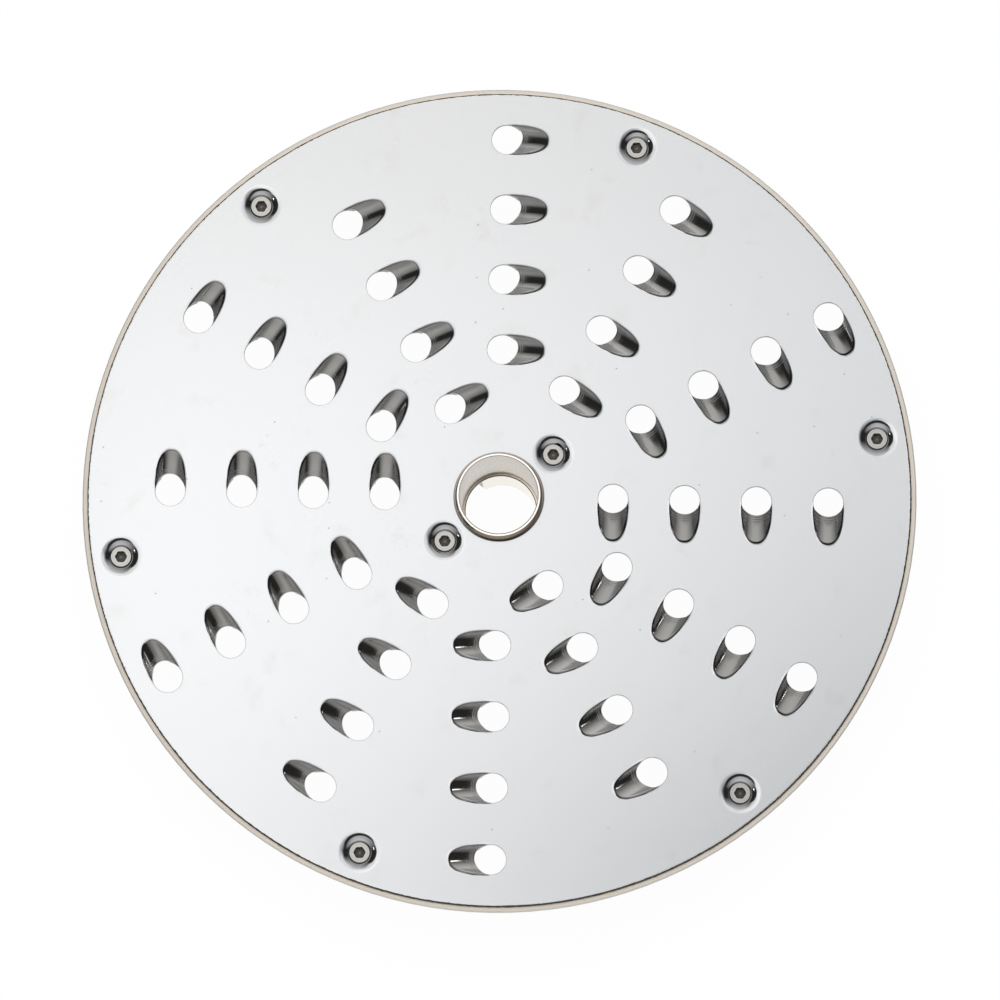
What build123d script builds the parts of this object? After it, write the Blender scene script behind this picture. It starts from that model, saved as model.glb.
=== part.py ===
from build123d import *
import os
from math import asin, cos, degrees, hypot, radians, sin, sqrt, tan

# A grating disc for a vegetable cutter: a pressed steel face plate with hooded teeth,
# screwed to a cast carrier whose hub fits over the drive shaft.
# Millimetres. Origin at the centre of the hub's lower end, +Z up to the tooth side.

# Overall sizes
disc_diameter = 205.0
hub_length = 38.5
lip_height = 3.2

# Face plate
sheet_thickness = 1.0
rim_ledge = 1.3
edge_break = 0.15

# Teeth: rows of hooded holes, each row starting its own number of steps out from the first tooth
row_count = 12
row_start_steps = [1, 5, 2, 4, 0, 3]
tooth_pitch = 17.6
first_tooth_radius = 25.1
tooth_rim_clearance = 0.7
hole_radius = 3.7
lip_reach = 4.0
hood_half_width = 4.0
hood_rise = 4.4
hood_reach = 10.6

# Carrier
rim_width = 5.5
rim_edge = 0.8
rim_break = 0.3
rim_bevel = 2.3
web_depth = 6.0
spoke_width = 4.0
spoke_offset = 3.0
root_fillet = 1.2
boss_wall = 0.8
hub_top_radius = 15.5
hub_end_radius = 13.5
hub_end_chamfer = 0.6

# Hub sleeve and drive end
sleeve_radius = 10.95
sleeve_bore_radius = 9.6
sleeve_length = 24.5
lip_width = 0.65
lip_straight = 0.5
bore_edge = 0.25
collar_bore_radius = 8.8
collar_edge = 0.2
drive_slot_width = 8.0
drive_slot_angle = 146.0
shoulder_thickness = 1.0

# Countersunk screws and the rolled dimples that they sit in
rim_screw_count = 6
rim_screw_angle = 10.0
rim_screw_inset = 8.5
hub_screw_count = 2
hub_screw_angle = 40.0
hub_screw_radius = 17.1
screw_radius = 1.5
screw_length = 4.5
head_radius = 2.55
head_edge = 0.1
countersink_angle = 90.0
socket_radius = 1.4
socket_lobes = 6
socket_depth = 0.9
dimple_radius = 5.1
dimple_bend = 3.2

# Clearances
sleeve_fit = 0.02
plate_fit = 0.1
dimple_fit = 0.15
thread_fit = 0.02
head_fit = 0.02
screw_clearance = 0.15

# Heights and radii that follow from the sizes above
plate_top = hub_length - lip_height
seat_height = plate_top - sheet_thickness
web_bottom = seat_height - web_depth
shoulder_height = hub_length - sleeve_length
rim_radius = disc_diameter / 2
window_radius = rim_radius - rim_width
plate_radius = rim_radius - rim_ledge
rim_screw_radius = rim_radius - rim_screw_inset
boss_radius = dimple_radius + dimple_fit + boss_wall
countersink_slope = 90 - countersink_angle / 2
screw_hole_radius = screw_radius + screw_clearance
dimple_bend_run = dimple_bend * sin(radians(countersink_slope))
dimple_bend_drop = dimple_bend * (1 - cos(radians(countersink_slope)))
countersink_radius = dimple_radius - dimple_bend_run
dimple_depth = dimple_bend_drop + (countersink_radius - screw_hole_radius) * tan(radians(countersink_slope))
head_height = (head_radius - screw_radius) * tan(radians(countersink_slope))
head_depth = dimple_bend_drop + (countersink_radius - head_radius) * tan(radians(countersink_slope)) - head_fit
hood_slope = degrees(asin(hood_rise / hood_reach))
hood_length = (hood_reach + sheet_thickness / tan(radians(hood_slope))) / cos(radians(hood_slope))
row_step = tooth_pitch / len(row_start_steps)
last_tooth_radius = window_radius - tooth_rim_clearance - hole_radius

# How a round form sits on its place: rising from it, or reaching down from it
standing = (Align.CENTER, Align.CENTER, Align.MIN)
hanging = (Align.CENTER, Align.CENTER, Align.MAX)


def polar_places(radius, count, start_angle, height):
    """Places spread evenly round the axis, each with its x axis pointing outward."""
    places = []
    for number in range(count):
        angle = start_angle + number * 360 / count
        x = radius * cos(radians(angle))
        y = radius * sin(radians(angle))
        places.append(Location((x, y, height), (0, 0, angle)))
    return places


def tooth_places():
    """The hole centre of each tooth on the plate's top, with the x axis pointing along its hood."""
    places = []
    for row in range(row_count):
        angle = row * 360 / row_count
        radius = first_tooth_radius + row_start_steps[row % len(row_start_steps)] * row_step
        while radius <= last_tooth_radius:
            x = radius * cos(radians(angle))
            y = radius * sin(radians(angle))
            places.append(Location((x, y, plate_top), (0, 0, angle - 90)))
            radius += tooth_pitch
    return places


teeth = tooth_places()
rim_screw_places = polar_places(rim_screw_radius, rim_screw_count, rim_screw_angle, plate_top)
hub_screw_places = polar_places(hub_screw_radius, hub_screw_count, hub_screw_angle, plate_top)
screw_places = rim_screw_places + hub_screw_places

# One hood's outer form: the upper half of an oval bar that slopes down into the sheet, away from
# the hole
hood_axis = (cos(radians(hood_slope)), 0, -sin(radians(hood_slope)))
hood_plane = Plane(origin=(0, 0, 0), x_dir=(0, 1, 0), z_dir=hood_axis)
with BuildPart() as hood_form:
    with BuildSketch(hood_plane):
        Ellipse(hood_half_width, hood_rise)
    extrude(amount=hood_length)
    split(bisect_by=Plane.XY.offset(-sheet_thickness / 2), keep=Keep.TOP)

# What a tooth takes out of the plate: the hollow under the hood, and the hole up to the hood's lip
with BuildPart() as tooth_cut:
    with BuildSketch(hood_plane):
        Ellipse(hood_half_width - sheet_thickness, hood_rise - sheet_thickness)
    extrude(amount=hood_length)
    with BuildSketch(Plane.XY.offset(-2 * sheet_thickness)):
        Ellipse(lip_reach, hole_radius)
        Rectangle(2 * lip_reach, 2 * hole_radius, align=(Align.MAX, Align.CENTER), mode=Mode.SUBTRACT)
        Circle(hole_radius)
    extrude(amount=2 * sheet_thickness + 2 * hood_rise)

# One dimple pressed into the sheet: a rolled lip that runs into the countersink for the screw's head
with BuildPart() as dimple_cup:
    with BuildSketch(Plane.XZ):
        with BuildLine():
            lip_top = (dimple_radius, 0)
            sink_top = (countersink_radius, -dimple_bend_drop)
            hole_top = (screw_hole_radius, -dimple_depth)
            hole_end = (screw_hole_radius, -dimple_depth - sheet_thickness)
            sink_end = (countersink_radius, -dimple_bend_drop - sheet_thickness)
            lip_bottom = (dimple_radius, -sheet_thickness)
            TangentArc(lip_top, sink_top, tangent=(-1, 0))
            Polyline(sink_top, hole_top, hole_end, sink_end)
            TangentArc(lip_bottom, sink_end, tangent=(-1, 0))
            Line(lip_bottom, lip_top)
        make_face()
    revolve(axis=Axis.Z)

# Face plate: round sheet with pressed dimples for the screws and the hooded teeth
with BuildPart() as face_plate:
    with BuildSketch(Plane.XY.offset(seat_height)):
        Circle(plate_radius)
        Circle(sleeve_radius + plate_fit, mode=Mode.SUBTRACT)
    extrude(amount=sheet_thickness)
    chamfer(face_plate.faces().sort_by(Axis.Z)[-1].outer_wire().edges(), edge_break)
    with Locations(*screw_places):
        Cylinder(dimple_radius, 2 * sheet_thickness, mode=Mode.SUBTRACT)
    with Locations(*screw_places):
        add(dimple_cup.part)
    with Locations(*teeth):
        add(hood_form.part)
    with Locations(*teeth):
        add(tooth_cut.part, mode=Mode.SUBTRACT)
face_plate.part.label = "face_plate"

# Carrier: one casting with a rim, leaning spokes that end at the screw bosses, and the hub
spoke_lean = degrees(asin(spoke_offset / rim_screw_radius))
spoke_length = sqrt(rim_screw_radius**2 - spoke_offset**2)
with BuildPart() as carrier:
    with BuildSketch(Plane.XY.offset(web_bottom)) as web:
        with PolarLocations(0, 1, start_angle=rim_screw_angle):
            Circle(rim_radius - rim_bevel)
            Circle(window_radius, mode=Mode.SUBTRACT)
            Circle(hub_top_radius)
        with PolarLocations(rim_screw_radius, rim_screw_count, start_angle=rim_screw_angle):
            Circle(boss_radius)
            Rectangle(spoke_length, spoke_width, rotation=-spoke_lean, align=(Align.MAX, Align.CENTER))
        with PolarLocations(-hub_screw_radius, hub_screw_count, start_angle=hub_screw_angle):
            Circle(boss_radius)
        fillet(
            [corner for corner in web.vertices() if hypot(corner.X, corner.Y) < window_radius + root_fillet],
            root_fillet,
        )
    extrude(amount=web_depth)
    with BuildSketch(Plane.XZ) as rim_section:
        with BuildLine():
            Polyline(
                (window_radius, seat_height),
                (rim_radius - rim_break, seat_height),
                (rim_radius, seat_height - rim_break),
                (rim_radius, seat_height - rim_edge),
                (rim_radius - rim_bevel, web_bottom),
                (window_radius, web_bottom),
                close=True,
            )
        make_face()
    revolve(axis=Axis.Z)
    Cone(hub_end_radius, hub_top_radius, web_bottom, align=standing)
    chamfer(carrier.edges().filter_by(GeomType.CIRCLE).sort_by(Axis.Z)[0], hub_end_chamfer)
    Cylinder(collar_bore_radius, seat_height, align=standing, mode=Mode.SUBTRACT)
    with Locations((0, 0, shoulder_height)):
        Cylinder(
            sleeve_radius + sleeve_fit,
            seat_height - shoulder_height,
            align=standing,
            mode=Mode.SUBTRACT,
        )
        Cone(
            collar_bore_radius,
            collar_bore_radius + collar_edge,
            collar_edge,
            align=hanging,
            mode=Mode.SUBTRACT,
        )
    with Locations(Location((0, 0, 0), (0, 0, drive_slot_angle))):
        Box(
            4 * hub_top_radius,
            drive_slot_width,
            shoulder_height - shoulder_thickness,
            align=standing,
            mode=Mode.SUBTRACT,
        )
    with Locations(*screw_places):
        with Locations((0, 0, -sheet_thickness)):
            Cone(
                screw_hole_radius,
                dimple_radius + dimple_fit,
                dimple_depth + dimple_fit,
                align=hanging,
                mode=Mode.SUBTRACT,
            )
            Cylinder(screw_radius + thread_fit, 2 * web_depth, mode=Mode.SUBTRACT)
carrier.part.label = "carrier"

# Hub sleeve: turned tube on the carrier's shoulder, rounded where it stands above the plate
with BuildPart() as hub_sleeve:
    with BuildSketch(Plane.XZ):
        with BuildLine():
            lip_start = (sleeve_radius, plate_top + lip_straight)
            lip_end = (sleeve_bore_radius + lip_width, hub_length)
            Line((sleeve_bore_radius, shoulder_height), (sleeve_radius, shoulder_height))
            Line((sleeve_radius, shoulder_height), lip_start)
            TangentArc(lip_start, lip_end, tangent=(0, 1))
            Line(lip_end, (sleeve_bore_radius, hub_length))
            Line((sleeve_bore_radius, hub_length), (sleeve_bore_radius, shoulder_height))
        make_face()
    revolve(axis=Axis.Z)
    fillet(hub_sleeve.edges().filter_by(GeomType.CIRCLE).sort_by(SortBy.RADIUS)[:2], bore_edge)
hub_sleeve.part.label = "hub_sleeve"

# One screw, its head's top on the XY plane: a countersunk head with a six-lobed socket, and the shank
lobe_radius = socket_radius / 4
with BuildPart() as screw:
    Cylinder(screw_radius, head_height + screw_length, align=hanging)
    Cone(screw_radius, head_radius, head_height, align=hanging)
    chamfer(screw.edges().filter_by(GeomType.CIRCLE).sort_by(Axis.Z)[-1], head_edge)
    with BuildSketch():
        Circle(socket_radius - lobe_radius)
        with PolarLocations(socket_radius - lobe_radius, socket_lobes):
            Circle(lobe_radius)
    extrude(amount=-socket_depth, mode=Mode.SUBTRACT)


def screw_group(places):
    """The same screw at each place, with its head down in the dimple's countersink."""
    with BuildPart() as screws:
        with Locations(*places):
            with Locations((0, 0, -head_depth)):
                add(screw.part)
    return screws.part


rim_screws = screw_group(rim_screw_places)
rim_screws.label = "rim_screws"
hub_screws = screw_group(hub_screw_places)
hub_screws.label = "hub_screws"

os.makedirs("parts", exist_ok=True)
export_step(face_plate.part, "parts/face_plate.step")
export_step(carrier.part, "parts/carrier.step")
export_step(hub_sleeve.part, "parts/hub_sleeve.step")
export_step(rim_screws, "parts/rim_screws.step")
export_step(hub_screws, "parts/hub_screws.step")
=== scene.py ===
from math import asin, cos, pi, radians, sin, sqrt

import bpy
import numpy as np
from mathutils import Matrix, Vector
from mathutils.geometry import delaunay_2d_cdt


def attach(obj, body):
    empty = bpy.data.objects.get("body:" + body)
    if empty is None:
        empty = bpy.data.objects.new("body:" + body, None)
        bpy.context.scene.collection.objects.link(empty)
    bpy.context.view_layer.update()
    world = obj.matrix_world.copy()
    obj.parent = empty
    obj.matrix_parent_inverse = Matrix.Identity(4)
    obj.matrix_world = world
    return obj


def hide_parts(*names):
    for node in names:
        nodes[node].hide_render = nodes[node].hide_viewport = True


# A grating disc seen from almost straight above, on a white floor in a small light tent.
# The face plate is made again here as one pressed sheet, with bends where the solid has corners.
# Lengths are in millimetres until they become mesh points, which are in metres.

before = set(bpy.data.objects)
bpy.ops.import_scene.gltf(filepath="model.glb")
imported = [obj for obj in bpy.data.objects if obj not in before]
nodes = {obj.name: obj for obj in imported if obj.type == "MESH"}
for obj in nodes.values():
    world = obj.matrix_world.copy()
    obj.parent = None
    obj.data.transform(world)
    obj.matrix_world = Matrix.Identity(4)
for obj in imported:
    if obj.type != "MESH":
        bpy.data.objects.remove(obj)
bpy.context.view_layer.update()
METRE = 0.001
EAST = (1.0, 0.0, 0.0)
NORTH = (0.0, 1.0, 0.0)
UP = (0.0, 0.0, 1.0)
LEVEL = (1.0, 1.0, 0.0)

# Sizes as in the CAD source
disc_diameter = 205.0
hub_length = 38.5
lip_height = 3.2
sheet_thickness = 1.0
rim_ledge = 1.3
rim_width = 5.5
row_count = 12
row_start_steps = [1, 5, 2, 4, 0, 3]
tooth_pitch = 17.6
first_tooth_radius = 25.1
tooth_rim_clearance = 0.7
hole_radius = 3.7
lip_reach = 4.0
hood_half_width = 4.0
hood_rise = 4.4
hood_reach = 10.6
sleeve_radius = 10.95
sleeve_bore_radius = 9.6
collar_bore_radius = 8.8
plate_fit = 0.1
rim_screw_count = 6
rim_screw_angle = 10.0
rim_screw_inset = 8.5
hub_screw_count = 2
hub_screw_angle = 40.0
hub_screw_radius = 17.1
screw_hole_radius = 1.65
countersink_slope = radians(45.0)
dimple_radius = 5.1
dimple_bend = 3.2
head_top_depth = 1.204
socket_lobes = 6

# Bends and broken edges that only the pressed sheet has
hood_bend = 0.75
tail_bend = 0.25
foot_pull = 0.68
tail_pull = 0.2
section_power = 2.4
pressed_rise = 4.1
ridge_crown = 0.3
mouth_taper = 0.25
mouth_full = 2.0
hollow_bend = 0.3
hole_edge = 0.08
plate_edge = 0.3
plate_edge_rag = 0.03
bend_reach = 0.6
bend_band = 0.2
patch_margin = 0.25
full_hood_height = 0.35
dimple_margin = 0.3
crease_angle = radians(38.0)
burr_waves = (41, 67, 97, 131, 173, 211)
burr_seed = 7

# How finely the sheet is divided
hood_segments = 34
plain_segments = 14
hood_rings = 5
bend_rings = 9
dimple_segments = 48
dimple_steps = 9
countersink_steps = 2
plate_segments = 480
hub_segments = 160
edge_steps = 6

# Limits used while the sheet is worked out
height_halvings = 40
height_slack = 0.01
least_scaled = 1e-3
tiny = 1e-9
join_distance = 1e-6
fill_inside = 1

# The photograph's view: distances in metres, angles in degrees, lens and sensor in millimetres
view_tilt = 9.555
view_bearing = -80.676
view_turn = 1.2444
view_distance = 1.951
view_end = 20.0
view_lens = 286.02
view_sensor = 36.0
view_shift_right = 0.0011
view_shift_up = -0.0031

# The floor and the light tent: metres, degrees, strengths of light, and the panel as parts of a unit vector
floor_size = 6.0
floor_drop = 0.0002
floor_colour = (0.9, 0.9, 0.9)
floor_white = 0.97
tent_radius = 1.2
tent_dark = 0.03
panel_strength = 1.5
panel_reach = 0.132
panel_north = 0.166
south_bearing = 269.0
north_bearing = 80.0
horizon = 90.0
side_lamp_bearing = 191.0
side_lamp_tilt = 56.5
side_lamp_reach = 0.9

plate_top = hub_length - lip_height
plate_radius = disc_diameter / 2 - rim_ledge
hub_hole_radius = sleeve_radius + plate_fit
bar_half_width = hood_half_width - foot_pull
bar_reach = hood_reach - tail_pull
hood_slope = asin(pressed_rise / bar_reach)
last_tooth_radius = disc_diameter / 2 - rim_width - tooth_rim_clearance - hole_radius


class Sheet:
    """Points and faces gathered for one mesh, with what the material asks at each point."""

    def __init__(self):
        self.points = []
        self.faces = []
        self.flat_faces = []
        self.marks = {"lip_distance": [], "hood_share": [], "sheared_edge_shade": []}

    def add_points(self, points, lip_distance=hood_reach, hood_share=0.0, sheared_edge_shade=0.0):
        """Adds rows of x, y, z and gives their numbers."""
        start = len(self.points)
        self.points.extend(map(tuple, points))
        given = {"lip_distance": lip_distance, "hood_share": hood_share, "sheared_edge_shade": sheared_edge_shade}
        for name, values in given.items():
            self.marks[name].extend(np.broadcast_to(values, len(points)))
        return np.arange(start, len(self.points))

    def add_strip(self, inner, outer):
        """Joins two closed loops of equal length, seen from the side where they run left-handed outward."""
        for here in range(len(inner)):
            following = (here + 1) % len(inner)
            self.faces.append((inner[here], outer[here], outer[following], inner[following]))


def tooth_places():
    """Each tooth's hole centre and the angle that its hood points along."""
    places = []
    for row in range(row_count):
        angle = row * 360 / row_count
        radius = first_tooth_radius + row_start_steps[row % len(row_start_steps)] * (
            tooth_pitch / len(row_start_steps)
        )
        while radius <= last_tooth_radius:
            x = radius * cos(radians(angle))
            y = radius * sin(radians(angle))
            places.append((x, y, radians(angle - 90)))
            radius += tooth_pitch
    return places


def screw_places():
    """Centres of the screw dimples."""
    places = []
    rings = (
        (disc_diameter / 2 - rim_screw_inset, rim_screw_count, rim_screw_angle),
        (hub_screw_radius, hub_screw_count, hub_screw_angle),
    )
    for radius, count, start_angle in rings:
        for number in range(count):
            angle = radians(start_angle + number * 360 / count)
            places.append((radius * cos(angle), radius * sin(angle)))
    return places


def bar_distance(x, y, z, half_width, rise):
    """Nearly the distance to a sloping bar of full oval section, less than nothing inside it."""
    wide = np.maximum(half_width - mouth_taper * np.maximum(mouth_full - x, 0) ** 2, half_width / 2)
    side = np.abs(y) / wide
    along = x - ridge_crown * x * (1 - x / bar_reach)
    high = np.abs(along * sin(hood_slope) + z * cos(hood_slope)) / rise
    scaled = (side**section_power + high**section_power) ** (1 / section_power)
    scaled = np.maximum(scaled, least_scaled)
    lean = section_power - 1
    steep = np.hypot(side**lean / wide, high**lean / rise) / scaled**lean
    return (scaled - 1) / np.maximum(steep, tiny)


def hood_height(x, y, level, half_width, rise, bend):
    """Height of a flat sheet joined to a sloping bar by a round bend, found by halving."""
    low = np.full_like(x, level - height_slack)
    high = np.full_like(x, hood_rise * 2)
    for _ in range(height_halvings):
        middle = (low + high) / 2
        flat = middle - level
        bar = bar_distance(x, y, middle, half_width, rise)
        rounded = np.hypot(np.maximum(bend - flat, 0), np.maximum(bend - bar, 0))
        outside = np.maximum(bend, np.minimum(flat, bar)) - rounded > 0
        high = np.where(outside, middle, high)
        low = np.where(outside, low, middle)
    return np.where(x > 0, (low + high) / 2, level)


def tooth_patch():
    """One tooth's rings of plan points from the hole's edge outward, with heights for both faces."""
    sweep = np.radians(np.linspace(-90, 90, hood_segments + 1))
    hood_angles = np.arctan2(bar_half_width * np.sin(sweep), bar_reach * np.cos(sweep))
    plain_angles = np.radians(np.linspace(90, 270, plain_segments + 1))[1:-1]
    angles = np.concatenate([hood_angles, plain_angles])
    along, across = np.cos(angles), np.sin(angles)
    hooded = along > tiny
    lip = 1 / np.hypot(along / lip_reach, across / hole_radius)
    section = (np.abs(along) / bar_reach) ** section_power
    section = section + (np.abs(across) / bar_half_width) ** section_power
    foot = np.where(hooded, section ** (-1 / section_power), bar_half_width)
    hole = np.where(hooded, lip, hole_radius)
    edge = hole + hole_edge
    bend_end = np.maximum(foot + hood_bend, edge + bend_band)
    bend_start = np.maximum(foot - bend_reach, (edge + bend_end) / 2)
    rings = [hole]
    rings += [edge + (bend_start - edge) * step / hood_rings for step in range(hood_rings)]
    rings += [bend_start + (bend_end - bend_start) * step / bend_rings for step in range(bend_rings + 1)]
    rings.append(bend_end + patch_margin)
    radius = np.array(rings)
    x, y = radius * along, radius * across
    tail_share = np.clip(x / bar_reach, 0, 1) ** 2
    bend = hood_bend + (tail_bend - hood_bend) * tail_share
    top = hood_height(x, y, 0.0, bar_half_width, pressed_rise, bend)
    inner_half_width = bar_half_width - sheet_thickness
    inner_rise = pressed_rise - sheet_thickness
    under = hood_height(x, y, -sheet_thickness, inner_half_width, inner_rise, hollow_bend)
    under = np.minimum(under, top - sheet_thickness / 4)
    top[0] -= hole_edge
    top[-1] = 0
    under[-1] = -sheet_thickness
    lip_distance = np.where(hooded, radius - hole, hood_reach)
    hood_share = np.where(hooded, np.clip(top / full_hood_height, 0, 1), 0)
    return x, y, top, under, lip_distance, hood_share


def dimple_profile():
    """Radius and height of a rolled dimple's upper face, from the screw hole to the flat sheet."""
    bend_run = dimple_bend * sin(countersink_slope)
    bend_drop = dimple_bend * (1 - cos(countersink_slope))
    cone_radius = dimple_radius - bend_run
    cone_drop = (cone_radius - screw_hole_radius) * sin(countersink_slope) / cos(countersink_slope)
    profile = []
    for step in range(countersink_steps):
        share = step / countersink_steps
        radius = screw_hole_radius + (cone_radius - screw_hole_radius) * share
        profile.append((radius, -bend_drop - cone_drop * (1 - share)))
    for turn in np.linspace(countersink_slope, 0, dimple_steps + 1):
        profile.append((dimple_radius - dimple_bend * sin(turn), -dimple_bend * (1 - cos(turn))))
    profile.append((dimple_radius + dimple_margin, 0.0))
    return profile


def edge_rag(angles):
    """Small burrs along the plate's sheared edge, the same each time."""
    chance = np.random.default_rng(burr_seed)
    rag = np.zeros_like(angles)
    for waves in burr_waves:
        rag += np.sin(waves * angles + chance.uniform(0, 2 * pi))
    return plate_edge_rag * rag / sqrt(len(burr_waves))


def circle(radius, segments):
    """Plan points evenly round a circle, and their angles."""
    angles = np.arange(segments) * 2 * pi / segments
    return np.stack([radius * np.cos(angles), radius * np.sin(angles)], 1), angles


def build_face_plate():
    """The face plate as one closed sheet: toothed, dimpled, with its flat parts filled in between."""
    sheet = Sheet()
    loops = []

    def add_rings(rings_x, rings_y, top, under, lip_distance, hood_share, sheared_edge_shade):
        """Adds a patch's upper and lower rings and its inner wall, and keeps its outer loops."""
        upper = []
        lower = []
        for x, y, high, low, away, share in zip(rings_x, rings_y, top, under, lip_distance, hood_share):
            upper.append(sheet.add_points(np.stack([x, y, plate_top + high], 1), away, share, sheared_edge_shade))
            lower.append(sheet.add_points(np.stack([x, y, plate_top + low], 1), away, share, sheared_edge_shade))
            sheared_edge_shade = 0.0
        for inner, outer in zip(upper, upper[1:]):
            sheet.add_strip(inner, outer)
        for inner, outer in zip(lower, lower[1:]):
            sheet.add_strip(outer, inner)
        sheet.add_strip(lower[0], upper[0])
        loops.append((upper[-1], lower[-1]))

    x, y, top, under, lip_distance, hood_share = tooth_patch()
    for hole_x, hole_y, turn in tooth_places():
        turned_x = hole_x + x * cos(turn) - y * sin(turn)
        turned_y = hole_y + x * sin(turn) + y * cos(turn)
        add_rings(turned_x, turned_y, top, under, lip_distance, hood_share, 1.0)

    profile = dimple_profile()
    for middle_x, middle_y in screw_places():
        middle = (middle_x, middle_y)
        plan = np.array([circle(radius, dimple_segments)[0] + middle for radius, _ in profile])
        heights = np.array([[height] * dimple_segments for _, height in profile])
        far = np.full_like(heights, hood_reach)
        bare = np.zeros_like(heights)
        add_rings(plan[..., 0], plan[..., 1], heights, heights - sheet_thickness, far, bare, 0.0)

    hub_loop, _ = circle(hub_hole_radius, hub_segments)
    hub_upper = sheet.add_points(np.c_[hub_loop, np.full(hub_segments, plate_top)])
    hub_lower = sheet.add_points(np.c_[hub_loop, np.full(hub_segments, plate_top - sheet_thickness)])
    sheet.add_strip(hub_lower, hub_upper)
    loops.append((hub_upper, hub_lower))

    unit, angles = circle(1, plate_segments)
    rag = edge_rag(angles)
    flat_radius = plate_radius - 2 * plate_edge
    edge_rings = [(flat_radius, 0.0, 0.0)]
    for turn in np.linspace(0, pi / 2, edge_steps):
        radius = plate_radius - plate_edge * (1 - sin(turn))
        edge_rings.append((radius, plate_edge * (cos(turn) - 1), 1.0))
    edge_rings.append((plate_radius, -sheet_thickness, 1.0))
    edge_rings.append((flat_radius, -sheet_thickness, 0.0))
    edge_loops = []
    for radius, height, ragged in edge_rings:
        plan = unit * (radius + ragged * rag)[:, None]
        edge_loops.append(sheet.add_points(np.c_[plan, np.full(plate_segments, plate_top + height)]))
    for inner, outer in zip(edge_loops, edge_loops[1:]):
        sheet.add_strip(inner, outer)
    loops.append((edge_loops[0], edge_loops[-1]))

    # The flat parts: one plan triangulation between all the loops, used on both faces
    plan = []
    edges = []
    upper_numbers = []
    lower_numbers = []
    for upper, lower in loops:
        start = len(plan)
        count = len(upper)
        plan += [Vector(sheet.points[number][:2]) for number in upper]
        edges += [(start + step, start + (step + 1) % count) for step in range(count)]
        upper_numbers.extend(upper)
        lower_numbers.extend(lower)
    _, _, triangles, sources, _, _ = delaunay_2d_cdt(plan, edges, [], fill_inside, join_distance)
    originals = [source[0] for source in sources]
    loop_of = np.repeat(np.arange(len(loops)), [len(upper) for upper, _ in loops])
    outer_loop = len(loops) - 1
    for triangle in triangles:
        corners = [originals[corner] for corner in triangle]
        same = {int(loop_of[corner]) for corner in corners}
        if len(same) == 1 and outer_loop not in same:
            continue
        sheet.flat_faces.append(tuple(upper_numbers[corner] for corner in corners))
        sheet.flat_faces.append(tuple(lower_numbers[corner] for corner in reversed(corners)))
    return sheet


def sheet_object(sheet, name):
    """A mesh object whose bends are smooth and whose flat parts stay flat."""
    mesh = bpy.data.meshes.new(name)
    points = np.array(sheet.points) * METRE
    faces = [tuple(map(int, face)) for face in sheet.faces + sheet.flat_faces]
    mesh.from_pydata([tuple(point) for point in points], [], faces)
    mesh.set_sharp_from_angle(angle=crease_angle)
    smooth = [True] * len(sheet.faces) + [False] * len(sheet.flat_faces)
    mesh.polygons.foreach_set("use_smooth", smooth)
    for mark, values in sheet.marks.items():
        attribute = mesh.attributes.new(mark, "FLOAT", "POINT")
        attribute.data.foreach_set("value", np.array(values, np.float32))
    mesh.update()
    piece = bpy.data.objects.new(name, mesh)
    bpy.context.scene.collection.objects.link(piece)
    return piece


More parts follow.
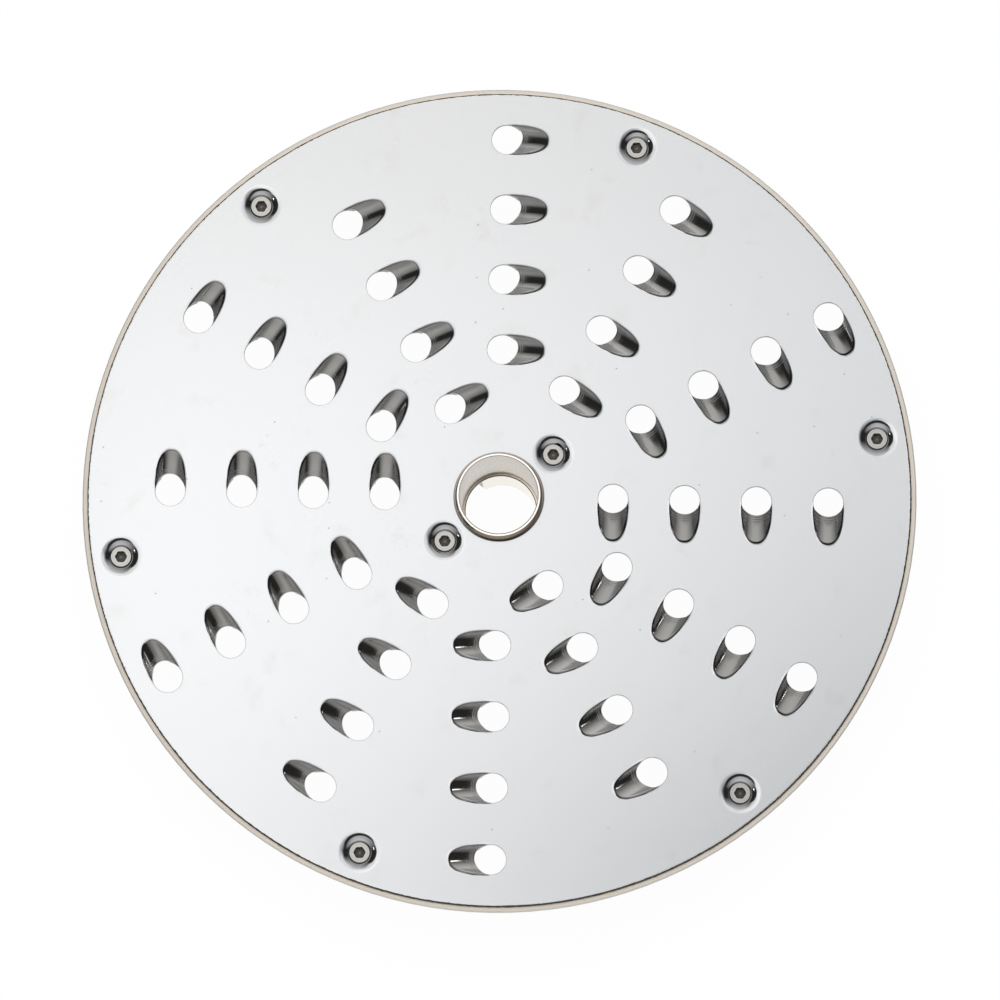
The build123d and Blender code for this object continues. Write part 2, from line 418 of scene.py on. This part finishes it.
class Nodes:
    """Short ways to add and join shader nodes in one tree."""

    def __init__(self, tree):
        self.tree = tree
        tree.nodes.clear()

    def add(self, kind, **settings):
        """A new node with its settings."""
        node = self.tree.nodes.new(kind)
        for name, value in settings.items():
            setattr(node, name, value)
        return node

    def put(self, socket, value):
        """Links a socket, or sets a plain value."""
        if isinstance(value, bpy.types.NodeSocket):
            self.tree.links.new(value, socket)
        else:
            socket.default_value = value

    def math(self, operation, *values, clamp=False):
        """The result of one sum."""
        node = self.add("ShaderNodeMath", operation=operation, use_clamp=clamp)
        for socket, value in zip(node.inputs, values):
            self.put(socket, value)
        return node.outputs[0]

    def product(self, first, *others):
        """Values multiplied together."""
        for other in others:
            first = self.math("MULTIPLY", first, other)
        return first

    def added(self, base, share, amount):
        """A base value with a share of an amount on top."""
        return self.math("MULTIPLY_ADD", share, amount, base)

    def mixed(self, first, second, share):
        """Two values mixed, by the first one's share."""
        rest = self.math("MULTIPLY", second, 1 - share)
        return self.added(rest, first, share)

    def between(self, value, low, high):
        """A value kept between two limits."""
        return self.math("MINIMUM", self.math("MAXIMUM", value, low), high)

    def vector(self, operation, *values):
        """The result of one sum of vectors."""
        node = self.add("ShaderNodeVectorMath", operation=operation)
        for socket, value in zip(node.inputs, values):
            self.put(socket, value)
        return node.outputs["Value" if operation in ("DOT_PRODUCT", "LENGTH") else "Vector"]

    def step(self, value, low, high, start=0.0, end=1.0, kind="SMOOTHSTEP"):
        """A step from start to end as value goes from low to high."""
        node = self.add("ShaderNodeMapRange", interpolation_type=kind)
        given = {"Value": value, "From Min": low, "From Max": high, "To Min": start, "To Max": end}
        for name, setting in given.items():
            self.put(node.inputs[name], setting)
        return node.outputs["Result"]

    def fall(self, value, low, high, start=1.0):
        """A step down to nothing as value goes from low to high."""
        return self.step(value, low, high, start, 0.0)

    def object_place(self):
        """Object coordinates, in metres."""
        return self.add("ShaderNodeTexCoord").outputs["Object"]

    def level_place(self):
        """Millimetres along x and y from the disc's axis."""
        return self.vector("MULTIPLY", self.object_place(), (1 / METRE, 1 / METRE, 0.0))

    def axis_distance(self):
        """Millimetres from the disc's axis."""
        return self.vector("LENGTH", self.level_place())

    def screw_offset(self, ring_radius, count, start_angle):
        """Millimetres along x and y from the nearest of the axes spread evenly on a ring."""
        level = self.level_place()
        step = 2 * pi / count
        turned = self.math("ADD", self.bearing(level), step / 2 - radians(start_angle))
        nearest = self.math("ADD", self.math("SNAP", turned, step), radians(start_angle))
        middle = self.add("ShaderNodeCombineXYZ")
        self.put(middle.inputs["X"], self.product(self.math("COSINE", nearest), ring_radius))
        self.put(middle.inputs["Y"], self.product(self.math("SINE", nearest), ring_radius))
        return self.vector("SUBTRACT", level, middle.outputs["Vector"])

    def bearing(self, place):
        """The angle of a place about the axis, from +X."""
        parts = self.add("ShaderNodeSeparateXYZ")
        self.put(parts.inputs["Vector"], place)
        return self.math("ARCTAN2", parts.outputs["Y"], parts.outputs["X"])

    def height(self):
        """Millimetres above the floor."""
        return self.vector("DOT_PRODUCT", self.object_place(), (0.0, 0.0, 1 / METRE))

    def grained(self, size, turn=0.0):
        """Object coordinates turned about the axis and counted in grains of a size along each way."""
        mapping = self.add("ShaderNodeMapping", vector_type="TEXTURE")
        self.put(mapping.inputs["Vector"], self.object_place())
        self.put(mapping.inputs["Rotation"], (0.0, 0.0, radians(turn)))
        self.put(mapping.inputs["Scale"], tuple(length * METRE for length in size))
        return mapping.outputs["Vector"]

    def noise(self, size, turn=0.0, detail=2.0, roughness=0.5):
        """Cloudy noise with grains of one size, or of a size along each way."""
        sizes = size if isinstance(size, tuple) else (size, size, size)
        node = self.add("ShaderNodeTexNoise")
        given = {"Vector": self.grained(sizes, turn), "Scale": 1.0, "Detail": detail, "Roughness": roughness}
        for name, setting in given.items():
            self.put(node.inputs[name], setting)
        return node.outputs["Fac"]

    def rings(self, radius, size, detail):
        """Noise that changes only with the distance from the axis."""
        node = self.add("ShaderNodeTexNoise", noise_dimensions="1D")
        self.put(node.inputs["W"], radius)
        self.put(node.inputs["Scale"], 1 / size)
        self.put(node.inputs["Detail"], detail)
        return node.outputs["Fac"]

    def specks(self, spacing, size, share):
        """Small dots at chance places: how far apart they could be, how large, and how many are kept."""
        node = self.add("ShaderNodeTexVoronoi", voronoi_dimensions="2D")
        self.put(node.inputs["Vector"], self.grained((spacing, spacing, spacing)))
        self.put(node.inputs["Scale"], 1.0)
        dot = self.fall(node.outputs["Distance"], size / spacing / 2, size / spacing)
        red_alone = (1.0, 0.0, 0.0)
        chance = self.vector("DOT_PRODUCT", node.outputs["Color"], red_alone)
        return self.product(dot, self.math("LESS_THAN", chance, share))

    def mix_colour(self, share, first, second):
        """The first colour, turned into the second by a share."""
        node = self.add("ShaderNodeMix", data_type="RGBA")
        self.put(node.inputs["Factor"], share)
        self.put(node.inputs["A"], (*first, 1.0) if isinstance(first, tuple) else first)
        self.put(node.inputs["B"], (*second, 1.0) if isinstance(second, tuple) else second)
        return node.outputs["Result"]

    def stain(self, colour, share, strength, stained):
        """A colour mixed towards another by a share of a strength."""
        return self.mix_colour(self.product(share, strength), colour, stained)

    def bump(self, height, distance):
        """A bump whose height is counted in a distance in millimetres."""
        node = self.add("ShaderNodeBump")
        self.put(node.inputs["Height"], height)
        self.put(node.inputs["Distance"], distance * METRE)
        return node.outputs["Normal"]

    def attribute(self, name):
        """What the mesh says at each point."""
        return self.add("ShaderNodeAttribute", attribute_name=name).outputs["Fac"]

    def surface(self, **inputs):
        """A Principled surface on the material's output."""
        shader = self.add("ShaderNodeBsdfPrincipled")
        for name, value in inputs.items():
            self.put(shader.inputs[name.replace("_", " ")], value)
        output = self.add("ShaderNodeOutputMaterial")
        self.put(output.inputs["Surface"], shader.outputs["BSDF"])

    def seen(self):
        """One for what the camera sees, straight or in metal or glass."""
        path = self.add("ShaderNodeLightPath")
        mirrored = self.math("MAXIMUM", path.outputs["Is Glossy Ray"], path.outputs["Is Transmission Ray"])
        return self.math("MAXIMUM", path.outputs["Is Camera Ray"], mirrored)


def new_material(name):
    """An empty material and the maker of its nodes."""
    material = bpy.data.materials.new(name)
    material.use_nodes = True
    return material, Nodes(material.node_tree)


def face_steel():
    """Bright rolled stainless sheet: specks, smudges, hair scratches, and drawing marks on the hoods, with
    painted shade at the sheared edges, in the hood creases, low in the dimples and round the hub.
    """
    material, make = new_material("face_sheet")
    radius = make.axis_distance()
    hood = make.attribute("hood_share")
    lip = make.attribute("lip_distance")
    grain = make.noise(size=0.45, detail=3.0)
    smudge = make.noise(size=9.0, turn=35.0, detail=5.0, roughness=0.6)
    smudge = make.step(smudge, low=0.55, high=0.75)
    colour = make.mix_colour(grain, first=(0.545, 0.5495, 0.559), second=(0.571, 0.5755, 0.585))
    colour = make.stain(colour, smudge, strength=0.6, stained=(0.5215, 0.523, 0.509))

    # Dirt, patches of dust, and hair scratches along the middle level of a cloudy noise
    middle_level = 0.5
    dirt = make.specks(spacing=7.0, size=0.2, share=0.07)
    dust = make.specks(spacing=1.6, size=0.16, share=0.3)
    dusty = make.step(make.noise(size=14.0), low=0.55, high=0.68)
    dust = make.product(dust, dusty)
    wander = make.math("SUBTRACT", make.noise(size=6.0, detail=1.0), middle_level)
    hair = make.fall(make.math("ABSOLUTE", wander), low=0.002, high=0.006)
    scratched = make.step(make.noise(size=11.0, turn=70.0, detail=1.0), low=0.58, high=0.64)
    hair = make.product(hair, scratched)
    colour = make.stain(colour, dirt, strength=0.8, stained=(0.09, 0.085, 0.08))
    colour = make.stain(colour, dust, strength=0.4, stained=(0.25, 0.24, 0.22))
    colour = make.stain(colour, hair, strength=0.09, stained=(0.3, 0.3, 0.3))

    # Drawn steel on the hoods, duller, with dirt and painted shade in the crease along the foot, and lines
    # along the lip
    line_pitch = 0.5
    colour = make.stain(colour, hood, strength=1.0, stained=(0.495, 0.482, 0.463))
    foot = make.product(make.step(hood, low=0.12, high=0.3), make.fall(hood, low=0.5, high=0.8))
    colour = make.stain(colour, foot, strength=0.55, stained=(0.06, 0.06, 0.065))
    line = make.math("SINE", make.product(lip, 2 * pi / line_pitch))
    line = make.product(line, make.step(lip, low=0.1, high=0.25))
    line = make.product(line, make.fall(lip, low=0.8, high=1.9))
    line = make.product(line, hood)
    scored = make.step(line, low=0.15, high=0.7)

    # Sheared edges, dark partly from shearing and partly as painted shade: the holes' walls, and the ragged
    # rim of the plate, which also carries a painted shadow gap towards the carrier
    sheared_edge_shade = make.attribute("sheared_edge_shade")
    colour = make.stain(colour, sheared_edge_shade, strength=0.85, stained=(0.08, 0.075, 0.07))
    torn_edge_and_shade = make.added(radius, make.noise(size=0.7, detail=3.0), amount=0.5)
    torn_edge_and_shade = make.step(torn_edge_and_shade, low=plate_radius - 0.1, high=plate_radius + 0.02)
    torn_edge_and_shade = make.product(torn_edge_and_shade, make.step(make.height(), low=plate_top - 0.6, high=plate_top - 0.4))
    colour = make.stain(colour, torn_edge_and_shade, strength=0.93, stained=(0.03, 0.028, 0.026))

    # Painted shade low in the dimples, and round the hub where the plate meets the sleeve
    sunk_shade = make.fall(make.height(), low=plate_top - 1.0, high=plate_top - 0.75)
    sunk_shade = make.product(sunk_shade, make.step(make.height(), low=plate_top - 1.6, high=plate_top - 1.5))
    colour = make.stain(colour, sunk_shade, strength=0.7, stained=(0.1, 0.08, 0.065))
    hub_join_shade = make.fall(radius, low=hub_hole_radius + 0.05, high=hub_hole_radius + 0.2)
    colour = make.stain(colour, hub_join_shade, strength=0.8, stained=(0.05, 0.042, 0.036))

    # The flat sheet keeps a dull film that the bent parts have lost
    facing = make.add("ShaderNodeNewGeometry").outputs["Normal"]
    flat = make.step(make.vector("DOT_PRODUCT", facing, UP), low=0.98, high=0.995)
    metallic = make.added(base=1.0, share=flat, amount=-0.22)

    normal = make.bump(line, distance=0.0045)
    roughness = make.added(base=0.12, share=hood, amount=0.02)
    roughness = make.added(roughness, scored, amount=0.25)
    drawn = make.product(make.fall(lip, low=0.6, high=2.8), hood)
    roughness = make.added(roughness, drawn, amount=0.14)
    roughness = make.added(roughness, torn_edge_and_shade, amount=0.3)
    make.surface(Base_Color=colour, Metallic=metallic, Roughness=roughness, Normal=normal)
    return material


def cast_alloy():
    """Satin cast alloy with a warm tint: a rim turned in rings, with a painted shadow in its corner and
    painted shade on its west side, and a bright collar.
    """
    material, make = new_material("cast_carrier")
    radius = make.axis_distance()
    blotch = make.noise(size=7.0)
    wobble = make.added(radius, make.noise(size=3.0), amount=0.4)
    ring = make.rings(wobble, size=0.5, detail=1.0)
    tone = make.mixed(ring, blotch, share=0.6)
    colour = make.mix_colour(tone, first=(0.49, 0.455, 0.4), second=(0.66, 0.63, 0.585))

    # The rim's ledge is browner beside the plate and has a painted shadow in the corner under the plate's
    # edge, and the west side is painted darker as shade
    ledge_height = plate_top - sheet_thickness
    on_ledge = make.step(make.height(), low=ledge_height - 0.3, high=ledge_height - 0.15)
    inner_band = make.fall(radius, low=plate_radius + 0.35, high=plate_radius + 0.65)
    inner_band = make.product(inner_band, on_ledge)
    colour = make.stain(colour, inner_band, strength=0.45, stained=(0.74, 0.6, 0.45))
    to_east = make.vector("DOT_PRODUCT", make.object_place(), (1 / METRE, 0.0, 0.0))
    west_shade = make.fall(to_east, low=-100.0, high=-40.0)
    colour = make.stain(colour, west_shade, strength=0.2, stained=(0.36, 0.33, 0.285))
    corner = make.added(radius, make.noise(size=0.9, detail=3.0), amount=0.35)
    corner = make.fall(corner, low=plate_radius + 0.13, high=plate_radius + 0.3)
    corner = make.product(corner, on_ledge)
    corner = make.product(corner, make.step(radius, low=plate_radius - 2.0, high=plate_radius - 1.5))
    colour = make.stain(colour, corner, strength=0.92, stained=(0.03, 0.027, 0.024))

    # The collar below the sleeve is bright and smooth, with painted shade in the corner at the sleeve's seat,
    # and darker at its own edge
    collar = make.fall(radius, low=sleeve_bore_radius - 0.06, high=sleeve_bore_radius + 0.02)
    speck = make.noise(size=0.5, detail=3.0)
    bright = make.mix_colour(speck, first=(0.78, 0.72, 0.62), second=(0.95, 0.9, 0.8))
    colour = make.mix_colour(collar, colour, bright)
    seat_shade = make.step(radius, low=sleeve_bore_radius - 0.32, high=sleeve_bore_radius - 0.22)
    seat_shade = make.product(seat_shade, collar)
    colour = make.stain(colour, seat_shade, strength=0.5, stained=(0.26, 0.18, 0.12))
    rounded = make.step(radius, low=collar_bore_radius + 0.02, high=collar_bore_radius + 0.06)
    near_edge = make.fall(radius, low=collar_bore_radius + 0.2, high=collar_bore_radius + 0.26)
    rounded = make.product(rounded, near_edge)
    colour = make.stain(colour, rounded, strength=0.3, stained=(0.36, 0.27, 0.19))
    metallic = make.added(base=0.55, share=collar, amount=0.45)

    grain = make.noise(size=0.4)
    normal = make.bump(make.mixed(ring, grain, share=0.9), distance=0.003)
    roughness = make.added(base=0.36, share=blotch, amount=0.12)
    roughness = make.added(roughness, collar, amount=-0.33)
    make.surface(Base_Color=colour, Metallic=metallic, Roughness=roughness, Normal=normal)
    return material


def hub_steel():
    """Turned steel: a speckled bore, a bright lip and a browner outside that is painted dark as shade low
    down, with fine tool rings.
    """
    material, make = new_material("hub_steel")
    radius = make.axis_distance()
    speckle = make.step(make.noise(size=0.5, detail=3.0), low=0.4, high=0.6)
    streak = make.noise(size=(25.0, 25.0, 0.25), detail=3.0)
    tone = make.mixed(streak, speckle, share=0.3)
    bore = make.mix_colour(tone, first=(0.5, 0.465, 0.405), second=(0.84, 0.805, 0.745))
    lip = make.mix_colour(tone, first=(0.66, 0.645, 0.62), second=(0.82, 0.81, 0.79))
    outside = make.mix_colour(tone, first=(0.44, 0.335, 0.25), second=(0.54, 0.425, 0.325))
    # Painted shade: the outside is nearly black below its top two millimetres, down to where it meets the
    # plate
    foot = make.fall(make.height(), low=hub_length - 2.2, high=hub_length - 0.9)
    outside = make.stain(outside, foot, strength=0.95, stained=(0.05, 0.042, 0.035))

    # Outward from the bore: its broken edge, the lip and the outside
    broken_edge = (0.16, 0.12, 0.095)
    bore_end = (sleeve_bore_radius + 0.01, sleeve_bore_radius + 0.04)
    lip_start = (sleeve_bore_radius + 0.2, sleeve_bore_radius + 0.25)
    lip_end = (sleeve_bore_radius + 0.57, sleeve_bore_radius + 0.67)
    colour = bore
    for limits, band in ((bore_end, broken_edge), (lip_start, lip), (lip_end, outside)):
        colour = make.mix_colour(make.step(radius, *limits), colour, band)

    normal = make.bump(streak, distance=0.004)
    in_bore = make.fall(radius, *bore_end)
    roughness = make.added(base=0.08, share=speckle, amount=0.1)
    roughness = make.added(roughness, in_bore, amount=0.2)
    make.surface(Base_Color=colour, Metallic=1.0, Roughness=roughness, Normal=normal)
    return material


def screw_steel(name, ring_radius, count, start_angle):
    """Plain screw steel, with dirt and painted shade below the top of the head, a painted highlight in the
    middle of the socket, and painted shade round the mouth of the socket.
    """
    material, make = new_material(name)
    offset = make.screw_offset(ring_radius, count, start_angle)
    away = make.vector("LENGTH", offset)
    lobes = make.math("COSINE", make.product(make.bearing(offset), float(socket_lobes)))
    speckle = make.noise(size=0.5, detail=4.0)
    colour = make.mix_colour(speckle, first=(0.42, 0.405, 0.385), second=(0.52, 0.505, 0.48))
    head_top = plate_top - head_top_depth
    # Below the head's top there is dirt and painted shade
    sunk_shade = make.fall(make.height(), low=head_top - 0.06, high=head_top - 0.015)

    # Dirt and painted shade below the head's top, with a painted highlight in the middle of the socket
    clotted = make.noise(size=0.35, turn=20.0, detail=3.0)
    dirt = make.mix_colour(clotted, first=(0.005, 0.005, 0.004), second=(0.18, 0.17, 0.155))
    socket_highlight = make.fall(away, low=0.1, high=0.5, start=0.45)
    dirt = make.mix_colour(socket_highlight, dirt, second=(0.3, 0.3, 0.29))

    # A turned ring on the head, and painted shade round the mouth of the socket with its lobes
    turned_radius = 2.05
    turned = make.math("ABSOLUTE", make.math("SUBTRACT", away, turned_radius))
    turned = make.fall(turned, low=0.04, high=0.12, start=0.3)
    colour = make.mix_colour(turned, colour, second=(0.25, 0.23, 0.21))
    mouth = make.added(away, lobes, amount=-0.06)
    mouth = make.added(mouth, make.noise(size=0.5), amount=0.16)
    mouth = make.fall(mouth, low=1.43, high=1.56, start=0.94)
    colour = make.mix_colour(mouth, colour, second=(0.02, 0.018, 0.016))
    colour = make.mix_colour(sunk_shade, colour, dirt)

    normal = make.bump(speckle, distance=0.004)
    roughness = make.added(base=0.28, share=sunk_shade, amount=0.2)
    make.surface(Base_Color=colour, Metallic=1.0, Roughness=roughness, Normal=normal)
    return material


def direction(bearing, tilt):
    """A unit vector at a bearing from +X and a tilt from straight up, both in degrees."""
    across = sin(radians(tilt))
    return (across * cos(radians(bearing)), across * sin(radians(bearing)), cos(radians(tilt)))


def white_floor():
    """A floor that is white to the eye and still takes the shadow."""
    bpy.ops.mesh.primitive_plane_add(size=floor_size, location=(0, 0, -floor_drop))
    floor = bpy.context.object
    floor.name = "floor"
    material, make = new_material("white_floor")
    matte = make.add("ShaderNodeBsdfDiffuse")
    matte.inputs["Color"].default_value = (*floor_colour, 1)
    white = make.add("ShaderNodeEmission")
    mix = make.add("ShaderNodeMixShader")
    make.put(mix.inputs["Fac"], make.product(make.seen(), floor_white))
    make.put(mix.inputs[1], matte.outputs["BSDF"])
    make.put(mix.inputs[2], white.outputs["Emission"])
    output = make.add("ShaderNodeOutputMaterial")
    make.put(output.inputs["Surface"], mix.outputs["Shader"])
    floor.data.materials.append(material)
    return floor


def light_tent():
    """The surroundings that the metal mirrors: a bright panel overhead and pale cloth north and south."""
    bpy.ops.mesh.primitive_uv_sphere_add(segments=96, ring_count=48, radius=tent_radius)
    tent = bpy.context.object
    tent.name = "tent"
    material, make = new_material("tent_cloth")
    ray = make.vector("NORMALIZE", make.object_place())
    bearing = make.vector("NORMALIZE", make.vector("MULTIPLY", ray, LEVEL))
    zenith = make.math("ARCCOSINE", make.vector("DOT_PRODUCT", ray, UP))
    to_east = make.vector("DOT_PRODUCT", ray, EAST)
    to_north = make.vector("DOT_PRODUCT", ray, NORTH)

    # The overhead panel, brighter to the west and least bright to the south-east
    east = make.product(to_east, 1 / panel_reach)
    east = make.between(east, low=-1.1, high=0.8)
    north = make.product(make.math("SUBTRACT", to_north, panel_north), 1 / panel_reach)
    north = make.between(north, low=-0.95, high=0.8)
    weights = (
        (east, -0.38),
        (north, 0.056),
        (make.product(east, east), -0.09),
        (make.product(east, north), 0.243),
        (make.product(north, north), -0.38),
    )
    panel = panel_strength
    for term, weight in weights:
        panel = make.added(panel, term, weight)
    edges = (
        make.fall(to_east, low=0.22, high=0.72),
        make.step(to_east, low=-0.58, high=-0.5),
        make.step(to_east, low=-0.2, high=-0.14, start=0.84, end=1.0),
        make.step(to_east, low=0.115, high=0.18, start=1.0, end=1.12),
        make.step(to_north, low=-0.26, high=-0.14),
        make.fall(to_north, low=0.46, high=0.76),
    )
    panel = make.product(panel, *edges)

    # Pale cloth to the south, below a dark gap that is wider in the east
    south_spread = 1.2
    south_start = -0.18
    south = make.vector("DOT_PRODUCT", bearing, direction(south_bearing, horizon))
    south = make.math("MULTIPLY_ADD", south, south_spread, south_start, clamp=True)
    eastward = make.math("MAXIMUM", make.vector("DOT_PRODUCT", bearing, EAST), 0.0)
    lowered = make.added(zenith, make.product(eastward, eastward), amount=-0.3)
    south = make.product(south, make.step(lowered, low=radians(32), high=radians(39)))
    south = make.product(south, make.step(zenith, low=radians(50), high=radians(76), start=0.72, end=0.88))
    south = make.product(south, make.step(zenith, low=radians(84), high=radians(104), start=1.0, end=0.62))

    # Pale cloth to the north, right up to the panel
    north_side = make.vector("DOT_PRODUCT", bearing, direction(north_bearing, horizon))
    north_side = make.step(north_side, low=0.53, high=0.96, kind="LINEAR")
    dimmed = make.step(zenith, low=radians(35), high=radians(95), start=0.79, end=0.35)
    north_side = make.product(north_side, dimmed)
    north_side = make.product(north_side, make.step(zenith, low=radians(14), high=radians(30)))

    light = make.math("MAXIMUM", panel, make.math("MAXIMUM", south, north_side))
    light = make.math("MAXIMUM", light, tent_dark)
    glow = make.add("ShaderNodeEmission")
    northern = make.step(north, low=0.0, high=0.8)
    tint = make.mix_colour(northern, first=(1.0, 1.0, 1.0), second=(1.0, 0.993, 0.98))
    eastern = make.step(east, low=0.1, high=0.8)
    tint = make.mix_colour(eastern, tint, second=(0.985, 1.0, 1.006))
    make.put(glow.inputs["Color"], tint)
    make.put(glow.inputs["Strength"], light)
    output = make.add("ShaderNodeOutputMaterial")
    make.put(output.inputs["Surface"], glow.outputs["Emission"])
    material.cycles.emission_sampling = "NONE"
    tent.data.materials.append(material)
    tent.visible_camera = False
    tent.visible_shadow = False
    return tent


def soft_lamp(name, size, power, place, mirrored):
    """A square lamp turned to the middle of the floor, which metal shows only if it is to be mirrored."""
    lamp = bpy.data.objects.new(name, bpy.data.lights.new(name, "AREA"))
    lamp.data.size = size
    lamp.data.energy = power
    lamp.location = place
    lamp.rotation_euler = (-Vector(place)).to_track_quat("-Z", "Y").to_euler()
    lamp.visible_camera = False
    lamp.visible_glossy = mirrored
    bpy.context.scene.collection.objects.link(lamp)


def surround():
    """A world that is white to the eye and gives no light of its own."""
    world = bpy.data.worlds.new("surround")
    world.use_nodes = True
    make = Nodes(world.node_tree)
    white = make.add("ShaderNodeBackground")
    white.inputs["Color"].default_value = (1, 1, 1, 1)
    make.put(white.inputs["Strength"], make.seen())
    output = make.add("ShaderNodeOutputWorld")
    make.put(output.inputs["Surface"], white.outputs["Background"])
    return world


def view_camera():
    """The camera at the photograph's place."""
    eye = Vector(direction(view_bearing, view_tilt))
    up = Vector((-sin(radians(view_turn)), cos(radians(view_turn)), 0))
    right = up.cross(eye).normalized()
    up = eye.cross(right)
    place = Vector((0, 0, plate_top * METRE)) + eye * view_distance
    camera = bpy.data.objects.new("camera", bpy.data.cameras.new("camera"))
    camera.matrix_world = Matrix.Translation(place) @ Matrix((right, up, eye)).transposed().to_4x4()
    camera.data.sensor_width = view_sensor
    camera.data.lens = view_lens
    camera.data.shift_x = view_shift_right
    camera.data.shift_y = view_shift_up
    camera.data.clip_end = view_end
    bpy.context.scene.collection.objects.link(camera)
    return camera


plate = sheet_object(build_face_plate(), "pressed_face_plate")
plate.data.materials.append(face_steel())
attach(plate, "root")
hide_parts("face_plate")

rim_screw_radius = disc_diameter / 2 - rim_screw_inset
finishes = {
    "carrier": cast_alloy(),
    "hub_sleeve": hub_steel(),
    "rim_screws": screw_steel("rim_screw_steel", rim_screw_radius, rim_screw_count, rim_screw_angle),
    "hub_screws": screw_steel("hub_screw_steel", hub_screw_radius, hub_screw_count, hub_screw_angle),
}
for name, material in finishes.items():
    mesh = nodes[name].data
    mesh.materials.clear()
    mesh.materials.append(material)

white_floor()
light_tent()
side_place = Vector(direction(side_lamp_bearing, side_lamp_tilt)) * (tent_radius * side_lamp_reach)
soft_lamp("fill", size=0.8, power=9.0, place=(0.0, 0.1, 1.0), mirrored=False)
soft_lamp("side_lamp", size=0.09, power=0.15, place=side_place, mirrored=True)
scene = bpy.context.scene
scene.world = surround()
scene.camera = view_camera()
scene.view_settings.view_transform = "Standard"
